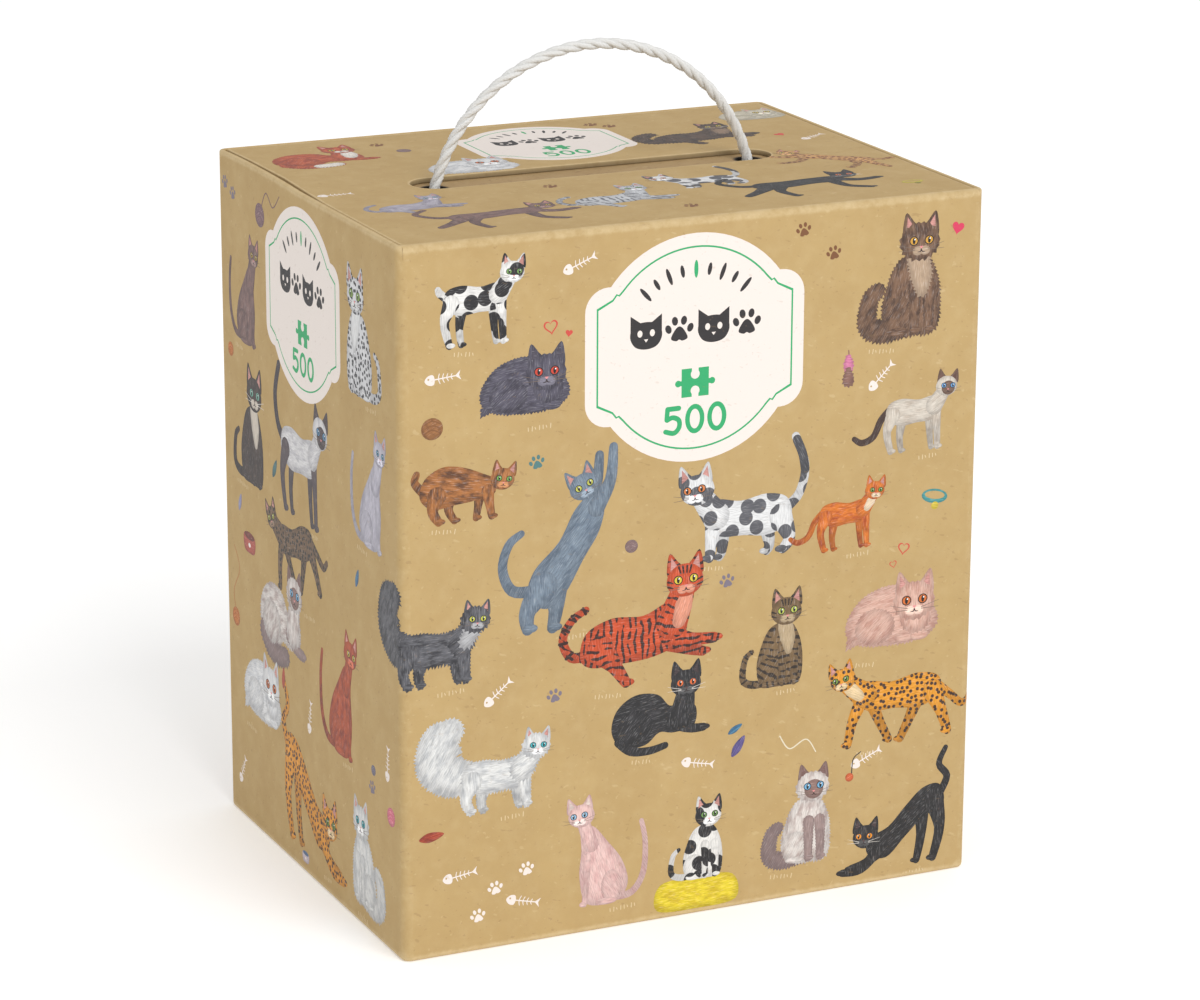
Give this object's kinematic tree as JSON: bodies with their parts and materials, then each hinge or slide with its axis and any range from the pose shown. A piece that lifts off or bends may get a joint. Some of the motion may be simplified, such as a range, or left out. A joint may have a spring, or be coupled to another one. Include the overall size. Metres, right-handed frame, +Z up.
{
  "type": "boxed jigsaw puzzle",
  "caption": "Upright kraft carton with a hinged tuck lid and an arched rope handle, holding a bag of loose jigsaw pieces and a folded picture guide.",
  "frame": {"origin": "middle of the base, on the surface that the box stands on", "axes": "+X to the right along the front, +Y from the front to the back, +Z up"},
  "size_m": [0.168, 0.131, 0.2276],
  "materials": {
    "kraft_print": "matt kraft liner with printed pictures",
    "kraft_inside": "matt unprinted kraft liner",
    "rope": "soft twisted cotton cord",
    "clear_film": "clear glossy film",
    "guide_paper": "smooth coated paper",
    "puzzle_board": "grey board with a satin printed face",
    "ink": "flat printing ink"
  },
  "bodies": {
    "carton": {"front_panel": "kraft_print", "back_panel": "kraft_print", "left_panel": "kraft_print", "right_panel": "kraft_print", "glue_flap": "kraft_inside", "base_panel": "kraft_print", "base_flap_left": "kraft_inside", "base_flap_right": "kraft_inside", "base_lock_flap": "kraft_inside", "piece_bag": "clear_film", "picture_guide": "guide_paper", "puzzle_pieces_1": "puzzle_board", "puzzle_pieces_2": "puzzle_board", "puzzle_pieces_3": "puzzle_board", "puzzle_pieces_4": "puzzle_board", "puzzle_pieces_5": "puzzle_board", "puzzle_pieces_6": "puzzle_board", "puzzle_pieces_7": "puzzle_board", "puzzle_pieces_8": "puzzle_board", "puzzle_pieces_9": "puzzle_board", "puzzle_pieces_10": "puzzle_board", "puzzle_pieces_11": "puzzle_board", "puzzle_pieces_12": "puzzle_board", "puzzle_pieces_13": "puzzle_board", "puzzle_pieces_14": "puzzle_board", "puzzle_pieces_15": "puzzle_board", "puzzle_pieces_16": "puzzle_board", "puzzle_pieces_17": "puzzle_board", "puzzle_pieces_18": "puzzle_board", "puzzle_pieces_19": "puzzle_board", "puzzle_pieces_20": "puzzle_board"},
    "lid": {"lid_panel": "kraft_print", "handle_board": "kraft_print"},
    "tuck": {"tuck_flap": "kraft_print"},
    "dust_left": {"dust_flap_left": "kraft_inside"},
    "dust_right": {"dust_flap_right": "kraft_inside"},
    "handle": {"handle_rope": "rope", "rope_knot_left": "rope", "rope_knot_right": "rope"}
  },
  "joints": [
    {"name": "lid_hinge", "type": "hinge", "parent": "carton", "child": "lid", "pos_m": [0, -0.06475, 0.19125], "axis": [1, 0, 0], "range_deg": [0, 180]},
    {"name": "tuck_crease", "type": "hinge", "parent": "lid", "child": "tuck", "pos_m": [0, 0.06275, 0.19125], "axis": [1, 0, 0], "range_deg": [0, 40]},
    {"name": "dust_crease_left", "type": "hinge", "parent": "carton", "child": "dust_left", "pos_m": [-0.08145, 0, 0.18945], "axis": [0, -1, 0], "range_deg": [0, 90]},
    {"name": "dust_crease_right", "type": "hinge", "parent": "carton", "child": "dust_right", "pos_m": [0.08145, 0, 0.18945], "axis": [0, 1, 0], "range_deg": [0, 90]},
    {"name": "handle_swing", "type": "hinge", "parent": "lid", "child": "handle", "pos_m": [0, 0, 0.18975], "axis": [1, 0, 0], "range_deg": [-45, 45], "stiffness_Nm_per_rad": 0.002}
  ],
  "couplings": [
    {"joint": "tuck_crease", "follows": "lid_hinge", "ratio": 0.2},
    {"joint": "dust_crease_left", "follows": "lid_hinge", "ratio": 0.5},
    {"joint": "dust_crease_right", "follows": "lid_hinge", "ratio": 0.5}
  ]
}
